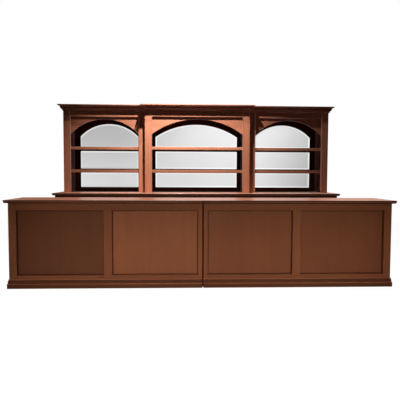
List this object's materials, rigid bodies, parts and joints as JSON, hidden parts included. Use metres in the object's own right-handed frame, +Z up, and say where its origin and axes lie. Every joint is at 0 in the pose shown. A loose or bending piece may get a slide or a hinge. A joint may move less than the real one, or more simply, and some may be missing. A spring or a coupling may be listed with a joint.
{
  "type": "bar counter with shelved back bar",
  "caption": "Panelled front bar counter with a matching back bar: cupboard base, arched shelved hutches with bevelled mirrors and a mitred crown.",
  "frame": {"origin": "on the floor, midway along the bar and midway between the front edge of the front bar's top and the rear of the back bar", "axes": "+X along the bar to the customer's right, +Y from the customer's side towards the back bar, +Z up"},
  "size_m": [4.88, 2.92, 2.62],
  "materials": {
    "mahogany": "red-brown mahogany stain under satin lacquer",
    "carcass_wood": "red-brown stained veneer, satin lacquer",
    "polished_top": "red-brown mahogany under a glossy bar-top lacquer",
    "backing_board": "plain sealed backing board",
    "mirror_glass": "bevelled, silvered",
    "brass": "satin"
  },
  "bodies": {
    "counter": {"bar_carcass_left": "carcass_wood", "bar_carcass_right": "carcass_wood", "bar_face_frame_left": "mahogany", "bar_face_frame_right": "mahogany", "bar_face_panels_left": "mahogany", "bar_face_panels_right": "mahogany", "bar_plinth_left": "mahogany", "bar_plinth_right": "mahogany", "bar_shelves": "carcass_wood", "bar_top_left": "polished_top", "bar_top_right": "polished_top", "base_back_panels": "backing_board", "base_carcass_left": "carcass_wood", "base_carcass_right": "carcass_wood", "base_face_frame_left": "mahogany", "base_face_frame_right": "mahogany", "base_plinth_left": "mahogany", "base_plinth_right": "mahogany", "base_shelves": "carcass_wood", "base_top_left": "polished_top", "base_top_right": "polished_top", "door_guides": "carcass_wood", "hutch_centre_carcass": "carcass_wood", "hutch_centre_crown": "mahogany", "hutch_centre_face_frame": "mahogany", "hutch_centre_mirror_frame": "mahogany", "hutch_centre_mirrors": "mirror_glass", "hutch_centre_shelves": "mahogany", "hutch_centre_valance": "mahogany", "hutch_left_carcass": "carcass_wood", "hutch_left_crown": "mahogany", "hutch_left_face_frame": "mahogany", "hutch_left_mirror_frame": "mahogany", "hutch_left_mirrors": "mirror_glass", "hutch_left_shelves": "mahogany", "hutch_left_valance": "mahogany", "hutch_right_carcass": "carcass_wood", "hutch_right_crown": "mahogany", "hutch_right_face_frame": "mahogany", "hutch_right_mirror_frame": "mahogany", "hutch_right_mirrors": "mirror_glass", "hutch_right_shelves": "mahogany", "hutch_right_valance": "mahogany"},
    "sliding_door_left_1": {"door_left_1": "mahogany", "door_pull_left_1": "brass"},
    "sliding_door_left_2": {"door_left_2": "mahogany", "door_pull_left_2": "brass"},
    "sliding_door_left_3": {"door_left_3": "mahogany", "door_pull_left_3": "brass"},
    "sliding_door_left_4": {"door_left_4": "mahogany", "door_pull_left_4": "brass"},
    "sliding_door_right_1": {"door_right_1": "mahogany", "door_pull_right_1": "brass"},
    "sliding_door_right_2": {"door_right_2": "mahogany", "door_pull_right_2": "brass"},
    "sliding_door_right_3": {"door_right_3": "mahogany", "door_pull_right_3": "brass"},
    "sliding_door_right_4": {"door_right_4": "mahogany", "door_pull_right_4": "brass"}
  },
  "joints": [
    {"name": "slide_left_1", "type": "slide", "parent": "counter", "child": "sliding_door_left_1", "axis": [-1, 0, 0], "range_m": [0, 0.5465]},
    {"name": "slide_left_2", "type": "slide", "parent": "counter", "child": "sliding_door_left_2", "axis": [1, 0, 0], "range_m": [0, 0.5465]},
    {"name": "slide_left_3", "type": "slide", "parent": "counter", "child": "sliding_door_left_3", "axis": [-1, 0, 0], "range_m": [0, 0.5465]},
    {"name": "slide_left_4", "type": "slide", "parent": "counter", "child": "sliding_door_left_4", "axis": [1, 0, 0], "range_m": [0, 0.5465]},
    {"name": "slide_right_1", "type": "slide", "parent": "counter", "child": "sliding_door_right_1", "axis": [1, 0, 0], "range_m": [0, 0.5465]},
    {"name": "slide_right_2", "type": "slide", "parent": "counter", "child": "sliding_door_right_2", "axis": [-1, 0, 0], "range_m": [0, 0.5465]},
    {"name": "slide_right_3", "type": "slide", "parent": "counter", "child": "sliding_door_right_3", "axis": [1, 0, 0], "range_m": [0, 0.5465]},
    {"name": "slide_right_4", "type": "slide", "parent": "counter", "child": "sliding_door_right_4", "axis": [-1, 0, 0], "range_m": [0, 0.5465]}
  ]
}
